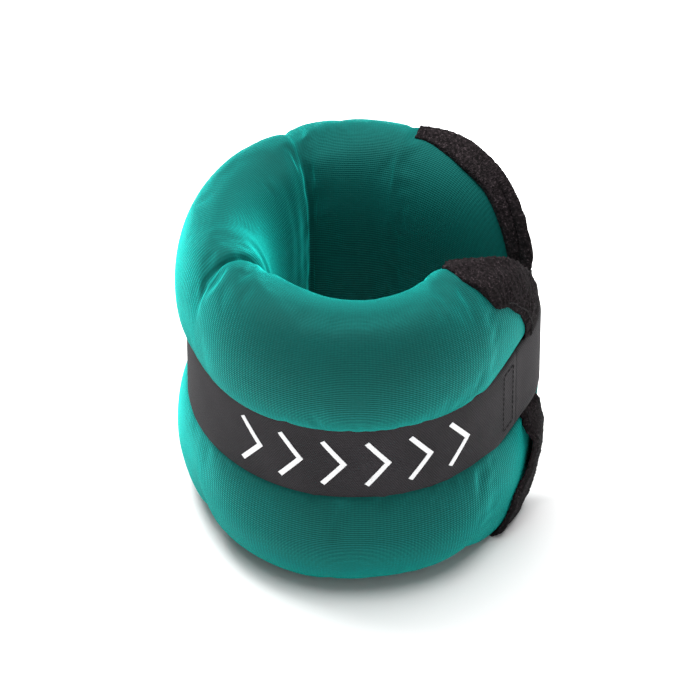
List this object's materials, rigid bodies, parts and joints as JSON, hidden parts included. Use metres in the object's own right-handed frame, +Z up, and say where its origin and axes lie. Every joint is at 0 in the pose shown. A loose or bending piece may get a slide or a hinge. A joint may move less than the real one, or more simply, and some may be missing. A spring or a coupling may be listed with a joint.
{
  "type": "ankle cuff weight",
  "caption": "C-shaped sand-filled neoprene cuff weight with rounded bound ends and a waist strap that closes with a hook-and-loop flap.",
  "frame": {"origin": "bottom centre of the closed cuff, on the floor under the middle of its box", "axes": "+Z up along the axis of the cuff; the strap's closed gap faces +X, turned 10 degrees towards +Y"},
  "size_m": [0.1327, 0.1357, 0.1355],
  "materials": {
    "cover_fabric": "fine-knit neoprene, soft sheen",
    "binding_loop": "fuzzy loop pile, matt",
    "strap_webbing": "close-woven webbing, matt",
    "hook_tape": "moulded hooks, matt",
    "loop_tape": "loop pile, matt",
    "thread": "spun thread, matt",
    "bag_cloth": "plain woven cloth",
    "iron_sand": "loose grains, dull",
    "print_ink": "screen-printed ink, matt"
  },
  "bodies": {
    "back_section": {"cover_back": "cover_fabric", "bag_back": "bag_cloth", "fill_back": "iron_sand", "far_end_binding": "binding_loop", "far_end_stitching": "thread", "strap_back": "strap_webbing", "strap_stitching_back": "thread", "loop_patch": "loop_tape"},
    "side_section": {"cover_side": "cover_fabric", "bag_side": "bag_cloth", "fill_side": "iron_sand", "strap_side": "strap_webbing", "strap_stitching_side": "thread"},
    "front_section": {"cover_front": "cover_fabric", "bag_front": "bag_cloth", "fill_front": "iron_sand", "near_end_binding": "binding_loop", "near_end_stitching": "thread", "strap_front": "strap_webbing", "strap_stitching_front": "thread", "strap_print": "print_ink"},
    "flap_root": {"flap_root": "strap_webbing"},
    "flap_mid": {"flap_mid": "strap_webbing", "hook_patch_mid": "hook_tape", "hook_stitching_mid": "thread"},
    "flap_tail": {"flap_tail": "strap_webbing", "tail_hem": "strap_webbing", "hook_patch_tail": "hook_tape", "hook_stitching_tail": "thread"}
  },
  "joints": [
    {"name": "rear_fold", "type": "hinge", "parent": "back_section", "child": "side_section", "pos_m": [-0.02865, 0.05622, 0.0675], "axis": [0, 0, -1], "range_deg": [0, 30]},
    {"name": "front_fold", "type": "hinge", "parent": "side_section", "child": "front_section", "pos_m": [-0.05719, -0.02667, 0.0675], "axis": [0, 0, -1], "range_deg": [0, 60]},
    {"name": "flap_peel", "type": "hinge", "parent": "front_section", "child": "flap_root", "pos_m": [0.06275, -0.0066, 0.0675], "axis": [0, 0, -1], "range_deg": [0, 96]},
    {"name": "flap_bend", "type": "hinge", "parent": "flap_root", "child": "flap_mid", "pos_m": [0.05291, 0.04134, 0.0675], "axis": [0, 0, -1], "range_deg": [0, 24]},
    {"name": "tail_peel", "type": "hinge", "parent": "flap_mid", "child": "flap_tail", "pos_m": [0.02186, 0.06349, 0.0675], "axis": [0, 0, -1], "range_deg": [0, 70]}
  ],
  "couplings": [
    {"joint": "rear_fold", "follows": "front_fold", "ratio": 0.5},
    {"joint": "flap_peel", "follows": "front_fold", "ratio": 1.6},
    {"joint": "flap_bend", "follows": "front_fold", "ratio": 0.4}
  ]
}
